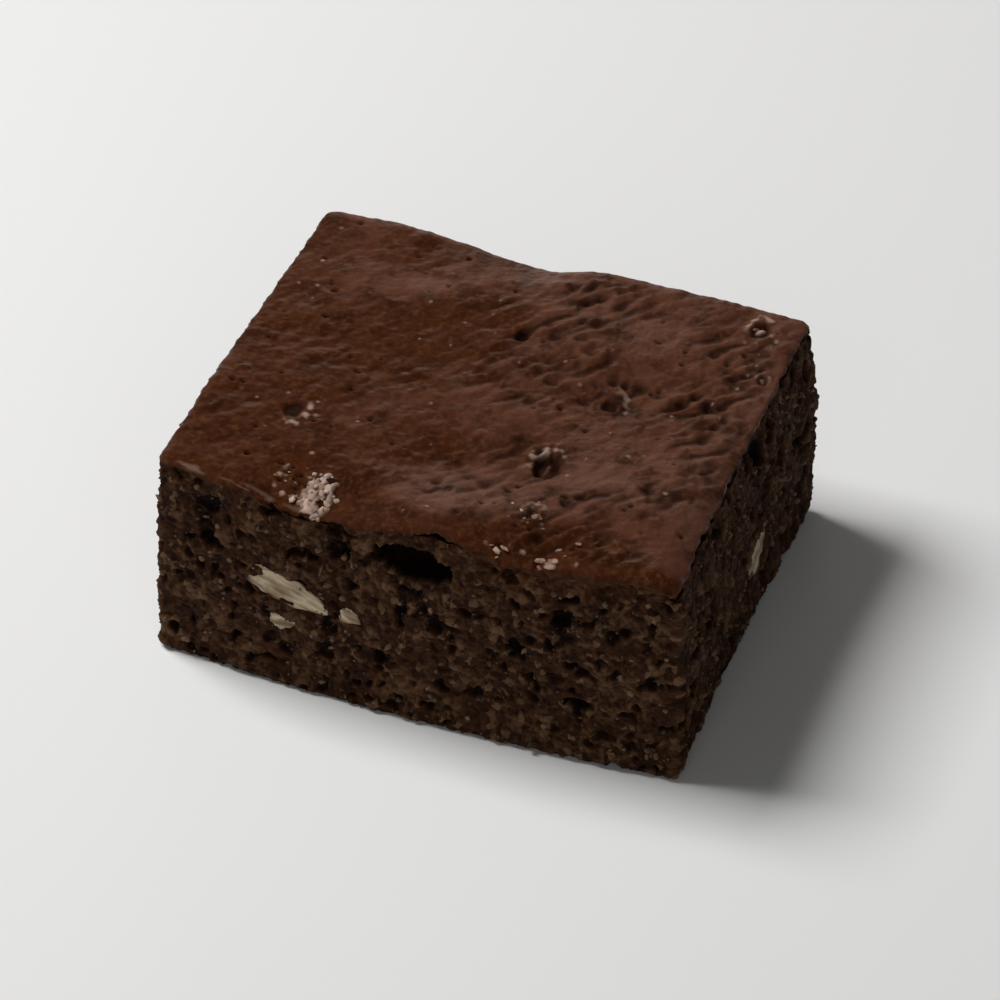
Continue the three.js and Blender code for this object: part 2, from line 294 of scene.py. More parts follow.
def cells(spot, grain, seed):
    """Distance to the nearest of points strewn one to a cell, in cell widths, and that point's own draw."""
    place = spot / grain
    cell = np.floor(place).astype(np.int64)
    near = np.full(spot.shape[:-1], 9.0)
    draw = np.zeros(spot.shape[:-1])
    for corner in np.ndindex(3, 3, 3):
        there = cell + np.array(corner) - 1
        jitter = np.stack([lattice_hash(there, seed + axis) for axis in range(3)], axis=-1) / 2**32
        away = np.linalg.norm(there + jitter - place, axis=-1)
        draw = np.where(away < near, lattice_hash(there, seed + 3) / 2**32, draw)
        near = np.minimum(near, away)
    return near, draw


def pushed(spot, grain, reach, seed):
    """Points moved about by noise on each axis, so that what is laid on them is less regular."""
    push = np.stack([noise(spot, grain, seed + axis) for axis in range(3)], axis=-1)
    return spot + reach * push


def ramp(value, low, high):
    """0 below low, 1 above high, and an S-curve between."""
    t = np.clip((value - low) / (high - low), 0, 1)
    return t * t * (3 - 2 * t)


# Form that all the pieces share

def turned(x, y, degrees):
    """A place on axes turned by an angle: x cosine plus y sine, and y cosine less x sine."""
    c, s = math.cos(math.radians(degrees)), math.sin(math.radians(degrees))
    return x * c + y * s, y * c - x * s


def to_frame(spot):
    """A point of the box as metres of the frame: a blend of the plan's four corners, plus each face's bow."""
    u = spot[..., 0] / LENGTH + 0.5
    v = spot[..., 1] / WIDTH + 0.5
    near_left, near_right, far_left, far_right = np.array([FRONT_LEFT, FRONT_RIGHT, BACK_LEFT, BACK_RIGHT])
    near = near_left + (near_right - near_left) * u[..., None]
    far = far_left + (far_right - far_left) * u[..., None]
    plan = near + (far - near) * v[..., None]
    plan[..., 0] += (RIGHT_BOW * u - LEFT_BOW * (1 - u)) * 4 * v * (1 - v)
    plan[..., 1] += (BACK_BOW * v - FRONT_BOW * (1 - v)) * 4 * u * (1 - u)
    return np.concatenate([plan, spot[..., 2:]], axis=-1) * MM


def bells(x, y, rows):
    """The sum of bells, each a height times e to the minus square of the reach on its own turned axes."""
    total = np.zeros(np.shape(x))
    for mid_x, mid_y, along, across, turn, rise in rows:
        a, b = turned(x - mid_x, y - mid_y, turn)
        total += rise * np.exp(-((a / along) ** 2 + (b / across) ** 2))
    return total


def crust_height(x, y):
    """Mean height, plus the swells, less the square of the nearness to each face times that face's drop."""
    z = HEIGHT + bells(x, y, CRUST_SWELLS)
    for face in FACES.values():
        edge = face["reach"] - (x * face["out"][0] + y * face["out"][1])
        near = 1 - np.clip(edge / face["roll"], 0, 1)
        run = (x * face["along"][0] + y * face["along"][1]) / face["length"] + 0.5
        start, end = face["drop"]
        z = z - (start + (end - start) * run) * near * near
    return z


def face_swell(face, up):
    """How far a face stands out at a height: its swell times half a wave of sine over the block."""
    return FACES[face]["swell"] * np.sin(math.pi * np.clip(up / HEIGHT, 0, 1))


def side_swell(normals, z):
    """Swell of the sides: each face's, weighted by the square of how far the normal turns to that face."""
    total = np.zeros(z.shape)
    for name, face in FACES.items():
        facing = np.clip(normals @ face["out"], 0, 1) ** 2
        total += facing * face_swell(name, z)
    return total


def rim(count):
    """Points and outward normals at equal steps round a box with round corners, counter-clockwise."""
    centre = np.array([LENGTH / 2, WIDTH / 2]) - CORNER_RADIUS
    turn = np.linspace(0, math.pi / 2, 16)
    angle = np.concatenate([turn + k * math.pi / 2 for k in (-1, 0, 1, 2)])
    way = np.stack([np.cos(angle), np.sin(angle)], axis=-1)
    signs = np.repeat(np.array([(1, -1), (1, 1), (-1, 1), (-1, -1)]), len(turn), axis=0)
    path = signs * centre + CORNER_RADIUS * way
    path = np.vstack([path, path[:1]])
    way = np.vstack([way, way[:1]])
    run = np.concatenate([[0], np.cumsum(np.linalg.norm(np.diff(path, axis=0), axis=1))])
    at = np.arange(count) / count * run[-1]
    return [
        np.stack([np.interp(at, run, line[:, axis]) for axis in (0, 1)], axis=-1) for line in (path, way)
    ]


def on_face(local, face, along, up, tilt):
    """A shape with X along a face, Y into it and Z up, turned by the tilt and stood at its place there."""
    out, way = FACES[face]["out"], FACES[face]["along"]
    a, z = turned(local[..., 0], local[..., 2], -tilt)
    a = a + along
    depth = FACES[face]["reach"] - local[..., 1]
    return np.stack([way[0] * a + out[0] * depth, way[1] * a + out[1] * depth, z + up], axis=-1)


# Meshes

def in_scene(name, data):
    """A new object of the scene, at the origin, with its data."""
    made = bpy.data.objects.new(name, data)
    bpy.context.scene.collection.objects.link(made)
    return made


def grid_quads(index):
    """Quads between the rows and columns of a grid of indices."""
    quad = [index[:-1, :-1], index[:-1, 1:], index[1:, 1:], index[1:, :-1]]
    return np.stack(quad, axis=-1).reshape(-1, 4)


def tube_quads(index):
    """Quads between the rings of a tube, a row of indices to each, its last point joined to its first."""
    return grid_quads(np.hstack([index, index[:, :1]]))


def fan(ring, centre, reverse):
    """Triangles from a closed ring of indices to a centre."""
    after = np.roll(ring, -1)
    tip = np.full(len(ring), centre)
    return np.stack([tip, after, ring] if reverse else [tip, ring, after], axis=-1)


def ball_grid(rows, columns, axis):
    """A unit ball: rings from pole to pole of an axis, as wide as the sine of the turn. Gives its points, its
    quads and the fans that close its ends."""
    turn = np.linspace(0, math.pi, rows + 2)[1:-1, None]
    angle = np.arange(columns)[None, :] / columns * 2 * math.pi
    along = -np.cos(turn) + 0 * angle
    wide = np.sin(turn)
    ball = np.stack([along, wide * np.cos(angle), wide * np.sin(angle)], axis=-1).reshape(-1, 3)
    ball = np.vstack([ball, [[-1, 0, 0], [1, 0, 0]]])
    count = rows * columns
    ring = np.arange(columns)
    triangles = np.vstack([fan(ring, count, True), fan(ring + count - columns, count + 1, False)])
    quads = tube_quads(np.arange(count).reshape(rows, columns))
    return np.roll(ball, axis, axis=-1), quads, triangles


def put_mesh(name, spots, quads, triangles, material, slot, nodes=(), creased=None, **masks):
    """One smooth piece from point, quad and triangle arrays, with a point attribute for each mask.
    An edge is sharp where both its ends are creased."""
    mesh = bpy.data.meshes.new(name)
    loops = np.concatenate([quads.ravel(), triangles.ravel()])
    sizes = np.concatenate([np.full(len(quads), 4), np.full(len(triangles), 3)])
    mesh.vertices.add(len(spots))
    mesh.vertices.foreach_set("co", spots.astype(np.float32).ravel())
    mesh.loops.add(len(loops))
    mesh.loops.foreach_set("vertex_index", loops.astype(np.int32))
    mesh.polygons.add(len(sizes))
    mesh.polygons.foreach_set("loop_start", (np.cumsum(sizes) - sizes).astype(np.int32))
    mesh.polygons.foreach_set("use_smooth", np.ones(len(sizes), dtype=bool))
    for key, value in masks.items():
        mesh.attributes.new(key, "FLOAT", "POINT").data.foreach_set("value", value.astype(np.float32))
    mesh.update(calc_edges=True)
    if creased is not None:
        ends = np.empty(2 * len(mesh.edges), dtype=np.int32)
        mesh.edges.foreach_get("vertices", ends)
        sharp = creased[ends].reshape(-1, 2).all(axis=1)
        mesh.attributes.new("sharp_edge", "BOOLEAN", "EDGE").data.foreach_set("value", sharp)
    mesh.validate()
    mesh.materials.append(material)
    piece = in_scene(name, mesh)
    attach(piece, "root")
    if nodes:
        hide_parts(*nodes)


# Pores

def seeded_draws(seed):
    """Endless numbers from 0 to 1: each state is the last times a constant plus another, modulo 2**32."""
    state = seed
    while True:
        state = (1664525 * state + 1013904223) & 0xFFFFFFFF
        yield state / 2**32


def pore_is_clear(face, pore):
    """True where a pore keeps its distance from the block's edges and from the face's nuts."""
    length = FACES[face]["length"]
    if abs(pore[0]) > length / 2 - PORE_MARGIN or not PORE_MARGIN <= pore[1] <= HEIGHT - PORE_MARGIN:
        return False
    nuts = [nut for nut in NUTS.values() if nut["face"] == face]
    return all(math.hypot(pore[0] - n["along"], pore[1] - n["up"]) > n["half"][0] + pore[2] for n in nuts)


def large_pores(face, draws):
    """Pores of a face, one to a cell in a share of the cells: along, up, half sizes, depth, tilt."""
    length = FACES[face]["length"]
    columns = round(length / PORE_PITCH)
    rows = math.floor(HEIGHT / PORE_PITCH + 0.5)
    pores = []
    for cell in range(columns * rows):
        wanted = next(draws) < PORE_SHARE
        column = cell % columns + 0.5 + PORE_JITTER * (next(draws) - 0.5)
        row = cell // columns + 0.5 + PORE_JITTER * (next(draws) - 0.5)
        radius = PORE_SMALL + (PORE_LARGE - PORE_SMALL) * next(draws) ** 3
        half = radius * (1 + PORE_STRETCH * next(draws))
        along = (column / columns - 0.5) * length
        pore = (along, row / rows * HEIGHT, half, radius, radius, 180 * next(draws))
        if wanted and pore_is_clear(face, pore):
            pores.append(pore)
    return pores


def fine_pores(face, draws):
    """Small pores strewn over a face, most of them at the small end of the range."""
    length = FACES[face]["length"]
    share = draws.random((FINE_PORES, 5))
    radius = FINE_SMALL + (FINE_LARGE - FINE_SMALL) * share[:, 2] ** 2.5
    along = (share[:, 0] - 0.5) * (length - 2)
    up = 1.0 + share[:, 1] * (HEIGHT - 3.5)
    half = radius * (1 + share[:, 3])
    return np.stack([along, up, half, radius, radius * 0.9, share[:, 4] * 180], axis=-1)


def all_pores():
    """Every pore of each face: the front's hollows, the other faces' larger pores, and fine ones on all."""
    draws = seeded_draws(PORE_SEED)
    large = {face: large_pores(face, draws) for face in ("right", "back", "left")}
    large["front"] = list(FRONT_HOLLOWS)
    fine_draws = np.random.default_rng(FINE_SEED)
    return {face: np.vstack([large[face], fine_pores(face, fine_draws)]) for face in FACES}


def pore_depth(spot, normals, pores):
    """Depth of the deepest pore at points of the cut faces: the root of one less a ragged radius squared."""
    torn = pushed(spot, 1.6, 0.8, 53)
    ragged = 1 + 0.35 * noise(spot, 1.3, 51) + 0.25 * noise(spot, 0.6, 52)
    depth = np.zeros(spot.shape[:-1])
    for name, face in FACES.items():
        columns = np.nonzero(normals @ face["out"] > FACING)[0]
        along = torn[:, columns, 0] * face["along"][0] + torn[:, columns, 1] * face["along"][1]
        up = torn[:, columns, 2]
        wobble = ragged[:, columns]
        deepest = np.zeros(along.shape)
        for at, level, half, tall, deep, tilt in pores[name]:
            a, b = turned(along - at, up - level, tilt)
            uneven = 1 + (wobble - 1) / max(1, deep / 1.2)
            bowl = np.sqrt(np.clip(1 - ((a / half) ** 2 + (b / tall) ** 2) * uneven**2, 0, 1))
            deepest = np.maximum(deepest, deep * bowl)
        edge = face["length"] / 2 - np.abs(along)
        depth[:, columns] = deepest * ramp(edge, 0.5, 4.0)
    return depth


def nut_socket(spot, normals):
    """1 on the crumb behind a nut piece, falling to 0 within its edge, so that crumb laps over it."""
    ragged = 1 + 0.40 * noise(spot, 1.5, 57) + 0.25 * noise(spot, 0.7, 58)
    socket = np.zeros(spot.shape[:-1])
    for nut in NUTS.values():
        out, way = FACES[nut["face"]]["out"], FACES[nut["face"]]["along"]
        facing = (normals @ out > FACING)[None, :]
        at = spot[..., 0] * way[0] + spot[..., 1] * way[1] - nut["along"]
        a, b = turned(at, spot[..., 2] - nut["up"], nut["tilt"])
        a = a / nut["half"][0]
        b = b / nut["half"][1] / (1 - NUT_TAPER * np.clip(a, -1, 1))
        socket = np.maximum(socket, (1 - ramp(np.hypot(a, b) * ragged, 0.70, 0.95)) * facing)
    return socket


# Crumb

def crumb_relief(spot):
    """Rough crumb about the cut, its holes, and a tone for each grain: rounded lumps and grains and finer
    noise on pushed points, holes where broad noise is high, and pits at some of the lumps."""
    torn = pushed(spot, 2.4, 0.9, 60)
    lump, lump_draw = cells(torn, LUMP_PITCH, 21)
    grain, tone = cells(pushed(spot, 0.8, 0.3, 64), GRAIN_PITCH, 26)
    relief = CRUMB_ROUGH * noise(spot, CRUMB_GRAIN, 22) + 0.30 * (0.55 - lump) + 0.5 * tone * (0.55 - grain)
    for octave, (size, depth) in enumerate(((1.3, 0.30), (0.65, 0.24), (0.35, 0.14))):
        relief = relief + depth * noise(torn, size, 70 + octave)
    holes = ramp(noise(torn, 2.7, 24), 0.32, 0.55)
    pits = 1.1 * ramp(0.44 - lump, 0, 0.3) * (lump_draw > 0.78)
    return relief, np.maximum(holes, pits), tone


def front_right(x, y):
    """1 about the part of the front edge where the crust bends down, falling to 0 in a bell each way."""
    return np.exp(-(((x - BEND_X) / BEND_ALONG) ** 2) - ((y + WIDTH / 2) / BEND_IN) ** 2)


def make_crumb(material):
    """The block's sides as rings round the rim at rising levels, closed under the base and under the crust.
    The rings are cut at the corners into one wedge for each face, all meeting on the upright axis."""
    points, normals = rim(CRUMB_COLUMNS)
    top = crust_height(points[:, 0], points[:, 1]) - UNDER_CRUST
    level = np.linspace(0, 1, CRUMB_ROWS)[:, None]
    spot = np.empty((CRUMB_ROWS, CRUMB_COLUMNS, 3))
    spot[..., :2] = points
    spot[..., 2] = level * top
    relief, holes, tone = crumb_relief(spot)
    socket = nut_socket(spot, normals)
    pores = pore_depth(spot, normals, all_pores())
    sunk = np.maximum(pores, holes) * (1 - socket) + SOCKET_DEPTH * socket
    z = spot[..., 2]
    foot = FOOT_SPREAD * (1 - ramp(z, 0, FOOT_HEIGHT)) - FOOT_ROUND * (1 - ramp(z, 0, 1.2)) ** 2
    out = side_swell(normals, z) + relief * (1 - socket) - CRUMB_ROUGH + foot - sunk
    skin_depth = 1.2 + 2.2 * front_right(spot[..., 0], spot[..., 1])
    skin = ramp(z - top + skin_depth + 2.0 * noise(spot, 3.0, 28) + 1.2 * noise(spot, 1.2, 29), 0, 1.8)
    # Painted light and shade by relief: raised grains paler, holes, pores and nut sockets darker
    painted_relief_light_shade = np.clip((relief - sunk + 1.0) / 1.5, 0, 1)
    spot[..., :2] += normals * out[..., None]

    base = BASE_RINGS * spot[0] * LEVEL
    cap = CAP_RINGS * spot[-1]
    cap[..., 2] = np.minimum(spot[-1, :, 2], CRUMB_CAP)
    rings = np.concatenate([base, spot, cap])

    def over_rings(of_sides, elsewhere):
        """A mask of the sides, with one value for the base and the cap."""
        whole = np.full(rings.shape[:2], elsewhere)
        whole[len(base) : len(base) + CRUMB_ROWS] = of_sides
        return whole

    masks = {
        "painted_relief_light_shade": over_rings(painted_relief_light_shade, 0.6),
        "skin": over_rings(skin, 0.0),
        "tone": over_rings(tone, 0.4),
    }
    corners = [np.argmax(normals @ way) for way in ((1, -1), (1, 1), (-1, 1), (-1, -1))]
    for face, first, last in zip(("right", "back", "left", "front"), corners, np.roll(corners, -1)):
        columns = np.arange(first, last + 1 + CRUMB_COLUMNS * (last < first)) % CRUMB_COLUMNS
        wedge = {key: value[:, columns] for key, value in masks.items()}
        put_wedge("crumb_" + face, rings[:, columns], wedge, material)
    return to_frame(spot)


def put_wedge(name, rings, masks, material):
    """One wedge of the block: part rings from base to cap, fans to the axis, and flat ends shut by fans."""
    rows, columns = rings.shape[:2]
    count = rows * columns
    axis_low, axis_high, first_end, last_end = count + np.arange(4)
    middle = np.array([0, 0, HEIGHT / 2])
    ends = [(rings[rows // 2, column] + middle) / 2 for column in (0, -1)]
    spots = np.vstack([rings.reshape(-1, 3), [[0, 0, 0], [0, 0, CRUMB_CAP]], ends])
    index = np.arange(count).reshape(rows, columns)
    first_loop, last_loop = ([axis_low, *index[:, side], axis_high] for side in (0, -1))
    low = np.stack([np.full(columns - 1, axis_low), index[0, 1:], index[0, :-1]], axis=-1)
    high = np.stack([np.full(columns - 1, axis_high), index[-1, :-1], index[-1, 1:]], axis=-1)
    triangles = np.vstack([low, high, fan(first_loop, first_end, False), fan(last_loop, last_end, True)])
    creased = np.isin(np.arange(len(spots)), [first_loop, last_loop])
    values = {key: np.append(value.ravel(), np.full(4, value[0, 0])) for key, value in masks.items()}
    quads = grid_quads(index)
    put_mesh(name, to_frame(spots), quads, triangles, material, "brownie", ["brownie"], creased, **values)


# Crust

def burst_relief(flat, ragged):
    """Relief and masks of the burst blisters: a well, in some a ragged dome, and round it a broken bell of a
    rim that lifts at one side. The masks paint shade in the well and glints on the lifted rim and the dome."""
    x, y = flat[..., 0], flat[..., 1]
    broken = ramp(noise(flat, 1.1, 42), -0.25, 0.3)
    uneven = 1 + 0.5 * (ragged - 1)
    rise, painted_pit_shade, pale_and_painted_glint = np.zeros((3,) + x.shape)
    for bx, by, radius, rim_glint, turn, share, depth, dome, dome_glint in BURST_BLISTERS:
        across, deep = (x - bx) / radius, (y - by) / radius / BLISTER_STRETCH
        reach = np.hypot(across, deep) * uneven
        well = 1 - ramp(reach / share, 0.65, 1.0)
        middle = (1 - ramp(reach / share, 0.1, 0.55)) * (0.35 + 0.65 * broken) * (dome > 0)
        ring = broken * np.exp(-(((reach - 1.05) / 0.22) ** 2))
        lifted = ramp(turned(across, deep, turn)[0], -0.4, 0.8)
        rise = rise + 0.10 * ring * (0.3 + 0.7 * lifted) - depth * well + (0.6 * depth + dome) * middle
        painted_pit_shade = np.maximum(painted_pit_shade, well * (1 - middle))
        pale_and_painted_glint = np.maximum.reduce([pale_and_painted_glint, rim_glint * ring * lifted, dome_glint * middle])
    return rise, painted_pit_shade, pale_and_painted_glint


def foam_relief(flat, ragged):
    """Relief and masks of the pale bubbles: round domes about strewn points within a ragged oval, with
    painted shade between the domes and paleness, partly a painted glint, on them.
    """
    mid_x, mid_y, half_x, half_y = FOAM_PATCH
    oval = np.hypot((flat[..., 0] - mid_x) / half_x, (flat[..., 1] - mid_y) / half_y) * ragged
    patch = 1 - ramp(oval, 0.6, 1.0)
    near, draw = cells(pushed(flat, 0.9, 0.35, 62), 1.15, 63)
    dome = np.sqrt(np.clip(1 - (near / 0.62) ** 2, 0, 1))
    rise = patch * (0.15 + dome * (0.25 + 0.45 * draw))
    return rise, 0.7 * patch * (1 - dome), patch * ramp(dome, 0, 0.5) * (0.45 + 0.55 * draw)


def strewn_relief(flat, ragged):
    """Relief and masks of small whole blisters, pinholes darkened with painted shade and specks paled with
    painted glints, at drawn places of the crust.
    """
    x, y = flat[..., 0], flat[..., 1]
    rise, painted_pit_shade, pale_and_painted_glint = np.zeros((3,) + x.shape)
    draws = np.random.default_rng(STREWN_SEED)
    for kind, many, small, large, centre, reach_each_way in STREWN:
        up, more_up, sunk, light, more_light = STREWN_KINDS[kind]
        for share in draws.random((many, 4)):
            radius = small + (large - small) * share[2] ** 2
            cx = centre[0] + (share[0] - 0.5) * reach_each_way[0]
            cy = centre[1] + (share[1] - 0.5) * reach_each_way[1]
            bell = np.clip(1 - (np.hypot(x - cx, y - cy) * ragged / radius) ** 2, 0, 1)
            rise = rise + (up + more_up * share[3]) * bell
            painted_pit_shade = np.maximum(painted_pit_shade, sunk * bell)
            pale_and_painted_glint = np.maximum(pale_and_painted_glint, (light + more_light * share[3]) * bell)
    return rise, painted_pit_shade, pale_and_painted_glint


def wrinkles(flat):
    """Fine folds from -1 to 1 along one way of the plan: noise long that way and short across it."""
    loose = pushed(flat, 4.0, 0.9, 49)
    along, across = turned(loose[..., 0], loose[..., 1], WRINKLE_TURN)
    return 1.4 * noise(np.stack([along, across, flat[..., 2]], axis=-1), WRINKLE_GRAIN, 67)


def crust_surface(flat):
    """Height of the crust's skin and its masks of painted pit shade, paleness with painted glints, and warm
    colour against painted sheen: swells, pillows, pebbles and blisters, and right of the fold dimples and
    wrinkles, whose hollows get painted shade. The warm mask is high left of the fold, on front-facing slopes
    and at the front right, lower on crests with painted sheen, and below 0 under the painted sheen bells."""
    x, y = flat[..., 0], flat[..., 1]
    edge = np.minimum(LENGTH / 2 - np.abs(x), WIDTH / 2 - np.abs(y))
    over_fold = ramp(x - FOLD_X + FOLD_HALF * noise(flat, 10, 48), -FOLD_HALF, FOLD_HALF)
    cobbled = (0.15 + 0.85 * over_fold) * ramp(noise(flat, 13, 32), -0.45, 0.15) * ramp(edge, 0.5, 3.0)
    near, draw = cells(pushed(flat, 2.5, 0.8, 43) * PLAN_STRETCH, DIMPLE_PITCH, 36)
    dimple = np.exp(-((near / 0.40) ** 2)) * (0.2 + 0.8 * draw)
    pebble, _ = cells(pushed(flat, 1.4, 0.5, 46) * PLAN_STRETCH, PEBBLE_PITCH, 33)
    wrinkle = wrinkles(flat)
    z = crust_height(x, y) + FOLD_RISE * (over_fold - 0.5)
    z = z + (0.7 + 0.3 * over_fold) * (0.26 * noise(flat, 5.5, 31) + 0.40 * noise(flat, 9.0, 30))
    z = z - (0.06 + 0.70 * cobbled) * dimple + (0.08 + 0.10 * over_fold) * (0.5 - pebble)
    z = z + (0.05 + 0.30 * cobbled) * wrinkle
    z = z + 0.12 * noise(flat, (2.0, 2.6, 1.0), 34) + 0.06 * noise(flat, 0.9, 35)
    ragged = 1 + 0.45 * noise(flat, 1.5, 37) + 0.25 * noise(flat, 0.7, 44)
    features = [burst_relief(flat, ragged), foam_relief(flat, ragged), strewn_relief(flat, ragged)]
    rises, pits, pale_and_glint_masks = zip(*features)
    front = 1 - ramp(y + WIDTH / 2, 0.6, 1.8)
    streaked = ramp(noise(flat, (3.0, 0.8, 1.0), 65), -0.3, 0.4)
    # Painted highlight along the lit front edge, strongest at the left
    painted_edge_light = 0.22 * front * streaked * (0.2 + 0.8 * ramp(-x, 8, 24))
    # Painted shade in the dimples and wrinkle troughs of the cobbled right
    painted_dimple_shade = cobbled * np.maximum(1.4 * dimple, 0.85 * ramp(-wrinkle, 0.05, 0.6))
    # Slope that rises to the back, so faces the front: such slopes are painted warm, without sheen
    climb = crust_height(x, y + 1) - crust_height(x, y - 1)
    # Painted sheen from the bells, and on the crests of the wrinkles
    painted_sheen = np.clip(bells(x, y, CRUST_PAINTED_SHEEN), -1, 1)
    painted_sheen_all = painted_sheen + 0.4 * cobbled * ramp(wrinkle, 0.1, 0.8)
    # Warm colour where no sheen is painted; low where the paler painted sheen goes
    warm_vs_painted_sheen = 0.85 * (1 - over_fold) + 0.5 * noise(flat, 8, 45) + 2.0 * climb + 0.6 * front_right(x, y)
    warm_vs_painted_sheen = ramp(warm_vs_painted_sheen + 0.35 * noise(flat, 3.0, 50) - 0.9 * painted_sheen_all, -0.35, 1.05) - 0.5 * np.maximum(painted_sheen, 0)
    return z + sum(rises), np.maximum.reduce(pits + (painted_dimple_shade,)), np.maximum.reduce(pale_and_glint_masks + (painted_edge_light,)), warm_vs_painted_sheen


def round_corner(x, y, half_x, half_y):
    """Draws a point past a corner arc's centre in to the arc, by its greater reach over its distance."""
    px = np.maximum(np.abs(x) - (half_x - CORNER_RADIUS), 0)
    py = np.maximum(np.abs(y) - (half_y - CORNER_RADIUS), 0)
    shrink = np.maximum(px, py) / np.maximum(np.hypot(px, py), 1e-9)
    shrink = np.where((px > 0) & (py > 0), shrink, 1)
    rx = np.sign(x) * (np.abs(x) - px + px * shrink)
    ry = np.sign(y) * (np.abs(y) - py + py * shrink)
    return rx, ry


def outward(x, y, half_x, half_y):
    """The way out of the plan near its border: from the corner arc's centre, or straight out of the side."""
    across = np.sign(x) * np.maximum(np.abs(x) - half_x + CORNER_RADIUS, 0)
    deep = np.sign(y) * np.maximum(np.abs(y) - half_y + CORNER_RADIUS, 0)
    reach = np.stack([across, deep], axis=-1)
    return reach / np.maximum(np.linalg.norm(reach, axis=-1, keepdims=True), 1e-9)


def lap_rings(ring, out):
    """Rings that carry the crust's border round its edge on an arc, down the face over the crumb's grains,
    and in behind. Gives the rings and their grains' tones."""
    flat = ring * LEVEL
    round_share = ramp(noise(flat, 6.0, 40), -0.4, 0.4)
    lap_share = ramp(noise(flat, 4.5, 41) + 0.7 * noise(flat, 1.5, 47), -0.4, 0.7)
    radius = EDGE_ROUND[0] + (EDGE_ROUND[1] - EDGE_ROUND[0]) * round_share
    lap = LAP_DOWN[0] + (LAP_DOWN[1] - LAP_DOWN[0]) * lap_share
    lap = lap + LAP_FRONT_RIGHT * front_right(ring[:, 0], ring[:, 1])
    turn = np.linspace(EDGE_SLOPE, math.pi / 2, EDGE_RINGS + 1)[1:, None]
    round_out = (np.sin(turn) - math.sin(EDGE_SLOPE)) * radius
    round_down = (math.cos(EDGE_SLOPE) - np.cos(turn)) * radius
    steps = np.linspace(0, 1, LAP_RINGS + 1)[1:, None]
    lap_out = round_out[-1] * (1 - steps) + 0.12 - 0.35 * steps**2
    lap_down = round_down[-1] + steps * lap
    tuck_in = np.array(TUCK_IN)[:, None]
    sideways = np.concatenate([round_out, lap_out, lap_out[-1] - tuck_in])
    down = np.concatenate([round_down, lap_down, lap_down[-1] + 0.05 * tuck_in])
    rings = np.repeat(ring[None], len(down), axis=0)
    rings[..., 2] -= down
    rings[..., :2] += out * CRUST_IN
    relief, holes, tone = crumb_relief(rings)
    hug = np.clip(np.arange(1, len(down) + 1) / 6, 0, 1)[:, None]
    rough = hug * (CRUST_IN - CRUMB_ROUGH + np.minimum(relief, 0.15) - 0.5 * holes)
    rings[..., :2] += out * (sideways + rough - CRUST_IN)[..., None]
    return rings, tone


def make_crust(material):
    """The skin as a grid over the plan, then rings that carry it over the edge and close beneath it."""
    half_x, half_y = LENGTH / 2 - CRUST_IN, WIDTH / 2 - CRUST_IN
    across = np.linspace(-half_x, half_x, CRUST_ACROSS + 1)
    deep = np.linspace(-half_y, half_y, CRUST_DEEP + 1)
    x, y = round_corner(*np.meshgrid(across, deep), half_x, half_y)
    flat = np.stack([x, y, np.zeros(x.shape)], axis=-1)
    z, painted_pit_shade, pale_and_painted_glint, warm_vs_painted_sheen = crust_surface(flat)
    edge = np.minimum(half_x - np.abs(x), half_y - np.abs(y))
    wander = 0.25 * noise(flat, 4.0, 38) + 0.08 * noise(flat, 1.2, 39)
    wander = wander * (1 - ramp(edge, 0, CORNER_RADIUS))
    out = outward(x, y, half_x, half_y)
    top = np.stack([x, y, z], axis=-1)
    top[..., :2] += out * wander[..., None]

    count = x.size
    index = np.arange(count).reshape(x.shape)
    border = np.concatenate([index[0, :-1], index[:-1, -1], index[-1, :0:-1], index[:0:-1, 0]])
    loop = len(border)
    lap, tone = lap_rings(top.reshape(-1, 3)[border], out.reshape(-1, 2)[border])
    inner = FLOOR_RINGS * lap[-1] * LEVEL
    inner[..., 2] = CRUST_FLOOR
    below = np.concatenate([lap, inner])
    spots = np.vstack([top.reshape(-1, 3), below.reshape(-1, 3), [[0, 0, CRUST_FLOOR]]])
    rings = np.vstack([border, count + np.arange(len(below) * loop).reshape(-1, loop)])
    quads = np.vstack([grid_quads(index), tube_quads(rings)[:, ::-1]])
    under = fan(rings[-1], len(spots) - 1, True)

    def with_lap(mask, rows):
        """A mask of the top, carried down the lap from the border and faded out over a number of rings."""
        share = np.clip(1 - np.arange(1, len(below) + 1) / rows, 0, 1)[:, None]
        carried = mask.ravel()[border] * share
        return np.concatenate([mask.ravel(), carried.ravel(), [0]])

    lap_share = ramp(np.arange(len(below)), 0, LAP_RINGS)[:, None] + 0.25 * noise(below, 1.3, 66)
    masks = {
        "painted_pit_shade": with_lap(painted_pit_shade, 5),
        "pale_and_painted_glint": with_lap(pale_and_painted_glint, 4),
        "warm_vs_painted_sheen": with_lap(warm_vs_painted_sheen, 1000),
        "lap": np.concatenate([np.zeros(count), np.clip(lap_share, 0, 1).ravel(), [1]]),
        "tone": np.concatenate([np.full(count, 0.4), tone.ravel(), np.full(len(inner) * loop + 1, 0.4)]),
    }
    put_mesh("crust", to_frame(spots), quads, under, material, "brownie", ["brownie"], **masks)
    return to_frame(top)


# Nut pieces

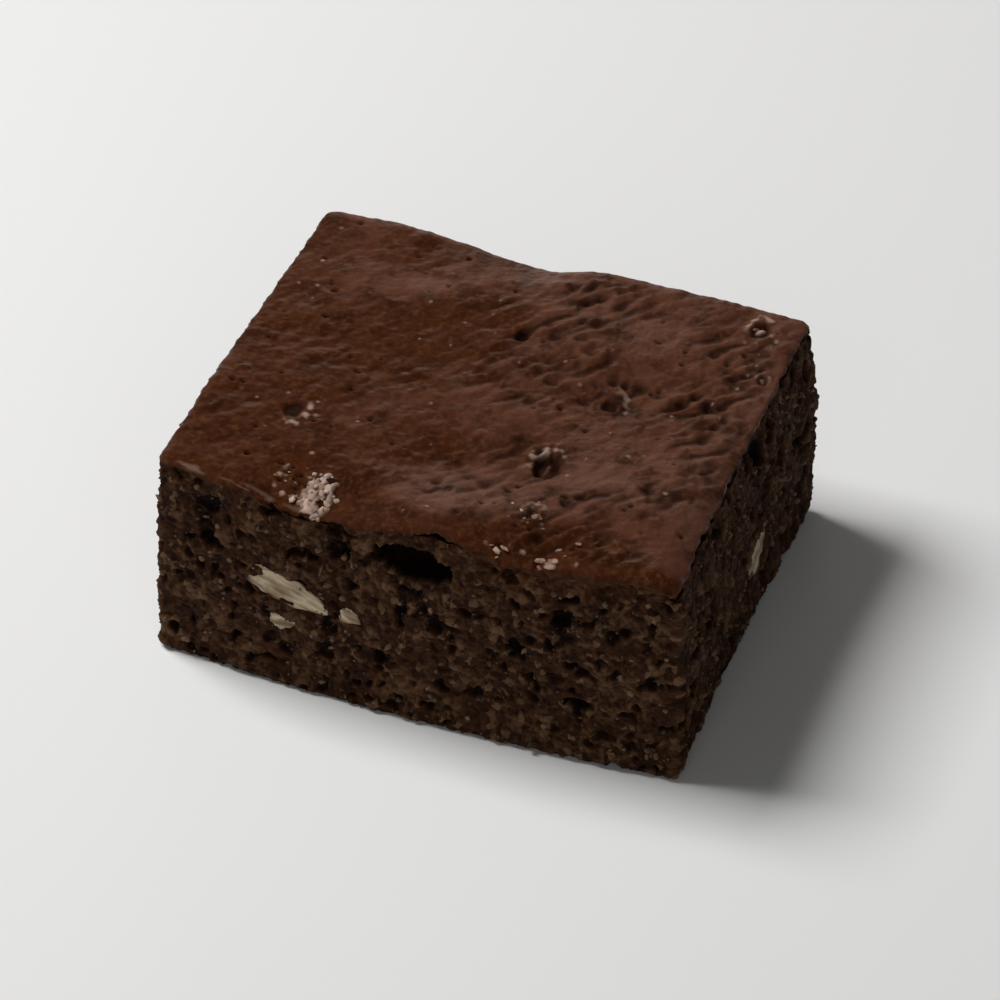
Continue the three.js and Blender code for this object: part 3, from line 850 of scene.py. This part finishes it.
def make_nut(name, material):
    """A lumpy ellipsoid, thinner to one end of its long axis and flattened where the knife went through."""
    nut = NUTS[name]
    half, tall, deep = nut["half"]
    ball, quads, triangles = ball_grid(*NUT_STEPS, 0)
    seed = sum(ord(letter) for letter in name)
    lumps = 1 + 0.30 * noise(ball, 0.8, seed) + 0.16 * noise(ball, 0.35, seed + 1)
    local = ball * lumps[:, None]
    local[:, 2] *= 1 - NUT_TAPER * np.clip(local[:, 0], -1, 1)
    local = local * np.array([half, deep, tall]) + np.array([0, NUT_SINK, 0])
    streak = noise(local, (5.0, 2.0, 0.7), seed + 3)
    cut = NUT_INSET + 0.3 + 0.4 * noise(local, 2.2, seed + 2) + 0.25 * streak
    rind = np.clip((local[:, 1] - cut) / 0.6, 0, 1)
    local[:, 1] = np.maximum(local[:, 1], cut) - face_swell(nut["face"], nut["up"])
    spots = to_frame(on_face(local, nut["face"], nut["along"], nut["up"], nut["tilt"]))
    masks = {"rind": rind, "streak": 0.5 + 0.5 * streak}
    put_mesh(name + "_piece", spots, quads, triangles, material, "nut", [name], **masks)


# Crumbs, bubbles and flakes

def strew(name, spots, sizes, flatness, lean_most, lumps, steps, draws, material):
    """One mesh of many small lumps: each a ball stretched and turned at random and set at its own spot."""
    ball, quads, triangles = ball_grid(*steps, 2)
    many = len(spots)
    stretch = sizes[:, None] * (0.55 + 0.9 * draws.random((many, 3)))
    stretch[:, 2] *= flatness
    apart = np.arange(many)[:, None, None] * 3.7
    shape = ball * (1 + lumps * noise(ball + apart, 0.8, 61))[..., None]
    shape = shape * stretch[:, None, :]
    spin = draws.random(many) * 2 * math.pi
    lean = (draws.random(many) - 0.5) * 2 * lean_most
    c, s, cl, sl = np.cos(spin), np.sin(spin), np.cos(lean), np.sin(lean)
    zero, one = np.zeros(many), np.ones(many)
    yaw = np.stack([c, -s, zero, s, c, zero, zero, zero, one], axis=-1).reshape(many, 3, 3)
    roll = np.stack([one, zero, zero, zero, cl, -sl, zero, sl, cl], axis=-1).reshape(many, 3, 3)
    placed = np.einsum("mij,mnj->mni", yaw @ roll, shape) * MM + spots[:, None, :]
    placed[..., 2] = np.maximum(placed[..., 2], 0)
    step = (np.arange(many) * len(ball))[:, None, None]
    quads = (quads + step).reshape(-1, 4)
    triangles = (triangles + step).reshape(-1, 3)
    put_mesh(name, placed.reshape(-1, 3), quads, triangles, material, "brownie")


def make_crumbs(side, material):
    """Crumbs that cling to the cut faces, at drawn points of the crumb's own surface."""
    draws = np.random.default_rng(CRUMBS_SEED)
    row = draws.integers(3, CRUMB_ROWS - 12, CRUMBS)
    column = draws.integers(0, CRUMB_COLUMNS, CRUMBS)
    sizes = 0.15 + 0.4 * draws.random(CRUMBS) ** 2.5
    strew("clinging_crumbs", side[row, column], sizes, 0.8, 0.8, 0.6, (4, 7), draws, material)


def on_crust(top, x, y):
    """Points of the crust's own surface nearest to places of the box."""
    i = np.clip(np.rint((x / LENGTH + 0.5) * CRUST_ACROSS), 0, CRUST_ACROSS).astype(int)
    j = np.clip(np.rint((y / WIDTH + 0.5) * CRUST_DEEP), 0, CRUST_DEEP).astype(int)
    return top[j, i]


def make_bubbles(top, material):
    """Loose bubbles on the pale patch at the front left: drawn about a line that runs to the edge."""
    draws = np.random.default_rng(BUBBLES_SEED)
    run = draws.random(BUBBLES)
    x = -13.8 + 0.9 * draws.standard_normal(BUBBLES) - 1.0 * (1 - run)
    y = -25.5 - 7.0 * run
    sizes = 0.25 + 0.4 * draws.random(BUBBLES) ** 1.5
    spots = on_crust(top, x, y)
    spots[:, 2] -= MM * 0.3 * sizes
    strew("pale_bubbles", spots, sizes, 0.7, 0.4, 0.3, (7, 11), draws, material)


def make_flakes(top, material):
    """Chips of broken skin about burst blisters and the torn front edge, thinning out from each nest."""
    draws = np.random.default_rng(FLAKES_SEED)
    nest = FLAKE_NESTS[draws.integers(0, len(FLAKE_NESTS), FLAKES)]
    away = draws.standard_normal((FLAKES, 2)) * nest[:, 2:] * 0.7
    spots = on_crust(top, nest[:, 0] + away[:, 0], nest[:, 1] + away[:, 1])
    sizes = 0.25 + 0.6 * draws.random(FLAKES) ** 2
    strew("crust_flakes", spots, sizes, 0.2, 0.3, 0.7, (4, 8), draws, material)


# Materials

def colour(red, green, blue):
    """A screen colour of 0 to 255 as linear light: the offset power curve of screens."""
    return tuple(((c / 255 + 0.055) / 1.055) ** 2.4 for c in (red, green, blue)) + (1.0,)


def set_inputs(node, **values):
    """Gives values to a node's inputs by name, underscores standing for spaces."""
    for key, value in values.items():
        node.inputs[key.replace("_", " ")].default_value = value


def blend_colours(tree, share, first, second):
    """A mix by a share's socket of two screen colours or sockets. Gives the mixed colour's socket."""
    node = tree.nodes.new("ShaderNodeMix")
    node.data_type = "RGBA"
    for key, value in ((0, share), (6, first), (7, second)):
        if isinstance(value, bpy.types.NodeSocket):
            tree.links.new(value, node.inputs[key])
        else:
            node.inputs[key].default_value = colour(*value)
    return node.outputs[2]


def spread(tree, value, low, high, to_low, to_high):
    """A value moved from one range to another and held there. Gives the socket."""
    node = tree.nodes.new("ShaderNodeMapRange")
    node.clamp = True
    tree.links.new(value, node.inputs[0])
    for key, number in zip(range(1, 5), (low, high, to_low, to_high)):
        node.inputs[key].default_value = number
    return node.outputs[0]


def combine(tree, operation, first, second):
    """The sum or product of two sockets. Gives the socket."""
    node = tree.nodes.new("ShaderNodeMath")
    node.operation = operation
    tree.links.new(first, node.inputs[0])
    tree.links.new(second, node.inputs[1])
    return node.outputs[0]


def baked_grain():
    """A shared group: mottling and fine grain of baked dough at a scale in features to the metre."""
    group = bpy.data.node_groups.new("baked_grain", "ShaderNodeTree")
    group.interface.new_socket("Vector", in_out="INPUT", socket_type="NodeSocketVector")
    group.interface.new_socket("Scale", in_out="INPUT", socket_type="NodeSocketFloat")
    for name in ("Mottle", "Grain"):
        group.interface.new_socket(name, in_out="OUTPUT", socket_type="NodeSocketFloat")
    given = group.nodes.new("NodeGroupInput")
    made = group.nodes.new("NodeGroupOutput")
    for name, times, detail in (("Mottle", 0.35, 4), ("Grain", 2.2, 5)):
        scale = group.nodes.new("ShaderNodeMath")
        scale.operation = "MULTIPLY"
        scale.inputs[1].default_value = times
        texture = group.nodes.new("ShaderNodeTexNoise")
        set_inputs(texture, Detail=detail, Roughness=0.62)
        group.links.new(given.outputs["Scale"], scale.inputs[0])
        group.links.new(scale.outputs[0], texture.inputs["Scale"])
        group.links.new(given.outputs["Vector"], texture.inputs["Vector"])
        group.links.new(texture.outputs[0], made.inputs[name])
    return group


def start_material(name, grain, scale, specular=0.5):
    """A material with a Principled shader, and the shared grain at a scale on object coordinates."""
    material = bpy.data.materials.new(name)
    material.use_nodes = True
    tree = material.node_tree
    group = tree.nodes.new("ShaderNodeGroup")
    group.node_tree = grain
    set_inputs(group, Scale=scale)
    tree.links.new(tree.nodes.new("ShaderNodeTexCoord").outputs["Object"], group.inputs["Vector"])
    shader = tree.nodes["Principled BSDF"]
    set_inputs(shader, Specular_IOR_Level=specular)
    return material, tree, shader, group.outputs


def mask(tree, name):
    """The socket of a piece's own point attribute."""
    node = tree.nodes.new("ShaderNodeAttribute")
    node.attribute_name = name
    return node.outputs["Fac"]


def coated(tree, base, coats):
    """A colour with coats blended over it in turn. Each has the value that it follows, that value's range,
    the coat's share at both ends, and its colour. Gives the socket."""
    for value, low, high, to_low, to_high, coat in coats:
        base = blend_colours(tree, spread(tree, value, low, high, to_low, to_high), base, coat)
    return base


def link_shader(tree, shader, base, rough, relief, distance, strength):
    """Links colour and roughness into the shader, and the bump of a relief socket into its normal."""
    bump = tree.nodes.new("ShaderNodeBump")
    set_inputs(bump, Strength=strength, Distance=distance)
    tree.links.new(base, shader.inputs["Base Color"])
    tree.links.new(rough, shader.inputs["Roughness"])
    tree.links.new(relief, bump.inputs["Height"])
    tree.links.new(bump.outputs[0], shader.inputs["Normal"])


def grain_colours(tree):
    """Crumb by the tone of each grain: dark to brown, and here and there a pale one. Gives the socket."""
    tone = mask(tree, "tone")
    coats = (
        (tone, 0.1, 0.9, 0, 1, (66, 41, 24)),
        (tone, 0.88, 0.97, 0, 0.45, (128, 102, 76)),
    )
    return coated(tree, (42, 22, 11), coats)


def crust_material(grain):
    """Satin, mottled brown skin: warm where no sheen is painted, paler and greyer under painted sheen, darker
    with painted shade in pits and dimples, paler on blisters and specks partly as painted glints, dull like
    crumb where it laps down."""
    material, tree, shader, made = start_material("brownie_crust", grain, 520, 0.2)
    warm_vs_painted_sheen, lap = mask(tree, "warm_vs_painted_sheen"), mask(tree, "lap")
    # Base: warm colour without sheen, or a paler pinkish colour that is painted sheen
    base = blend_colours(tree, warm_vs_painted_sheen, (84, 51, 38), (60, 28, 10))
    coats = (
        # Painted highlight under the painted sheen bells
        (warm_vs_painted_sheen, -0.5, 0, 0.40, 0, (108, 80, 68)),
        (made["Mottle"], 0.38, 0.54, 0.75, 0, (40, 16, 5)),
        (made["Grain"], 0.48, 0.70, 0, 0.45, (104, 64, 40)),
        (lap, 0.2, 0.7, 0, 0.85, grain_colours(tree)),
        # Painted shade in wells, pinholes, gaps between bubbles and dimples
        (mask(tree, "painted_pit_shade"), 0.05, 1, 0, 0.9, (24, 9, 3)),
        # Paleness, mostly painted glints, on blister rims, domes, foam and specks, and painted light on the
        # front edge
        (mask(tree, "pale_and_painted_glint"), 0.05, 0.95, 0, 0.85, (205, 178, 160)),
    )
    rough = spread(tree, made["Mottle"], 0.3, 0.7, 0.30, 0.44)
    rough = combine(tree, "ADD", rough, spread(tree, lap, 0, 0.3, 0, 0.45))
    relief = combine(tree, "MULTIPLY", made["Grain"], spread(tree, warm_vs_painted_sheen, 0, 1, 1, 0.35))
    set_inputs(shader, Specular_Tint=WARM_SHEEN + (1,))
    link_shader(tree, shader, coated(tree, base, coats), rough, relief, 0.0004, 0.45)
    return material


def crumb_material(grain):
    """Dull, dark crumb: a tone for each grain, painted shade that blackens holes and pores, painted light
    that pales raised grains, warm by the crust.
    """
    material, tree, shader, made = start_material("brownie_crumb", grain, 800, 0.1)
    painted_relief_light_shade = mask(tree, "painted_relief_light_shade")
    coats = (
        (mask(tree, "skin"), 0, 1, 0, 0.65, (66, 34, 16)),
        # Painted light on raised grains and painted shade in holes, pores and sockets
        (painted_relief_light_shade, 0.68, 0.96, 0, 0.6, (106, 78, 54)),
        (painted_relief_light_shade, 0.05, 0.58, 0.95, 0, (15, 6, 3)),
    )
    base = coated(tree, grain_colours(tree), coats)
    rough = spread(tree, made["Grain"], 0.3, 0.7, 0.65, 0.88)
    link_shader(tree, shader, base, rough, made["Grain"], 0.0006, 0.7)
    return material


def nut_material(grain):
    """Pale cut nut with streaks along it, browner in patches and at its skin."""
    material, tree, shader, made = start_material("cut_nut", grain, 620, 0.3)
    coats = (
        (mask(tree, "streak"), 0.3, 0.65, 0, 1, (192, 175, 146)),
        (made["Mottle"], 0.36, 0.5, 0.5, 0, (112, 84, 58)),
        (mask(tree, "rind"), 0.05, 0.7, 0, 1, (66, 40, 24)),
    )
    base = coated(tree, (118, 94, 68), coats)
    rough = spread(tree, made["Grain"], 0.3, 0.7, 0.5, 0.7)
    link_shader(tree, shader, base, rough, made["Grain"], 0.0004, 0.5)
    return material


def loose_material(name, grain, dark, light, mean_rough):
    """Crumbs, bubbles and flakes: a mottled blend of a dark and a light colour."""
    material, tree, shader, made = start_material(name, grain, 1100)
    base = coated(tree, dark, [(made["Mottle"], 0.36, 0.64, 0, 1, light)])
    rough = spread(tree, made["Grain"], 0.3, 0.7, mean_rough - 0.1, mean_rough + 0.1)
    link_shader(tree, shader, base, rough, made["Grain"], 0.0003, 0.5)
    return material


# The object

grain = baked_grain()
side = make_crumb(crumb_material(grain))
top = make_crust(crust_material(grain))
cut_nut = nut_material(grain)
for nut_name in NUTS:
    make_nut(nut_name, cut_nut)
make_crumbs(side, loose_material("loose_crumb", grain, (40, 23, 13), (116, 90, 66), 0.75))
# The bubbles' light colour is partly pale sugar skin, partly a painted highlight
make_bubbles(top, loose_material("burst_skin", grain, (96, 62, 48), (200, 176, 162), 0.3))
make_flakes(top, loose_material("skin_chip", grain, (96, 62, 44), (196, 164, 144), 0.4))


# Floor, light and camera

def plain_floor():
    """A wide pale floor that the brownie rests on."""
    half = 3.0
    corners = [(-half, -half, 0), (half, -half, 0), (half, half, 0), (-half, half, 0)]
    mesh = bpy.data.meshes.new("floor")
    mesh.from_pydata(corners, [], [(0, 1, 2, 3)])
    material = bpy.data.materials.new("pale_floor")
    material.use_nodes = True
    shader = material.node_tree.nodes["Principled BSDF"]
    set_inputs(shader, Base_Color=(0.82, 0.82, 0.81, 1), Roughness=0.8)
    mesh.materials.append(material)
    floor = in_scene("floor", mesh)


def soft_light(name, place, size, power, tint=(1, 1, 1), gloss=True):
    """A square light at a place, turned to the brownie, that shows in its gloss or doesn't."""
    lamp = bpy.data.lights.new(name, "AREA")
    lamp.color = tint
    lamp.size = size
    lamp.energy = power
    light = in_scene(name, lamp)
    light.visible_glossy = gloss
    light.location = place
    light.rotation_euler = aim(place)


def aim(place):
    """The turn that points an object's -Z from a place at the brownie, with +Y up."""
    back = np.array(place) - LOOK_AT
    azimuth = math.atan2(back[0], -back[1])
    elevation = math.atan2(back[2], math.hypot(back[0], back[1]))
    return (math.pi / 2 - elevation, 0, azimuth)


def photo_camera(azimuth, elevation, distance, lens):
    """A long-lens camera at an azimuth and elevation about the brownie's middle."""
    a, e = math.radians(azimuth), math.radians(elevation)
    way = np.array([math.sin(a) * math.cos(e), -math.cos(a) * math.cos(e), math.sin(e)])
    place = LOOK_AT + way * distance
    data = bpy.data.cameras.new("camera")
    data.lens = lens
    camera = in_scene("camera", data)
    camera.location = place
    camera.rotation_euler = aim(place)
    bpy.context.scene.camera = camera


plain_floor()
soft_light("overhead", (-0.60, 0.05, 0.85), 0.5, 10.1, gloss=False)
soft_light("overhead_gloss", (-0.60, 0.05, 0.85), 0.5, 2.0)
soft_light("back_sheen", (-0.45, 1.05, 0.30), 0.35, 0.55, WARM_SHEEN)
soft_light("front_fill", (0.38, -1.0, 0.45), 0.8, 2.2, gloss=False)
world = bpy.data.worlds.new("studio")
world.use_nodes = True
set_inputs(world.node_tree.nodes["Background"], Color=(1.0, 0.99, 0.97, 1), Strength=0.05)
bpy.context.scene.world = world
bpy.context.scene.view_settings.view_transform = "Standard"
photo_camera(azimuth=22, elevation=35, distance=1.68, lens=440)
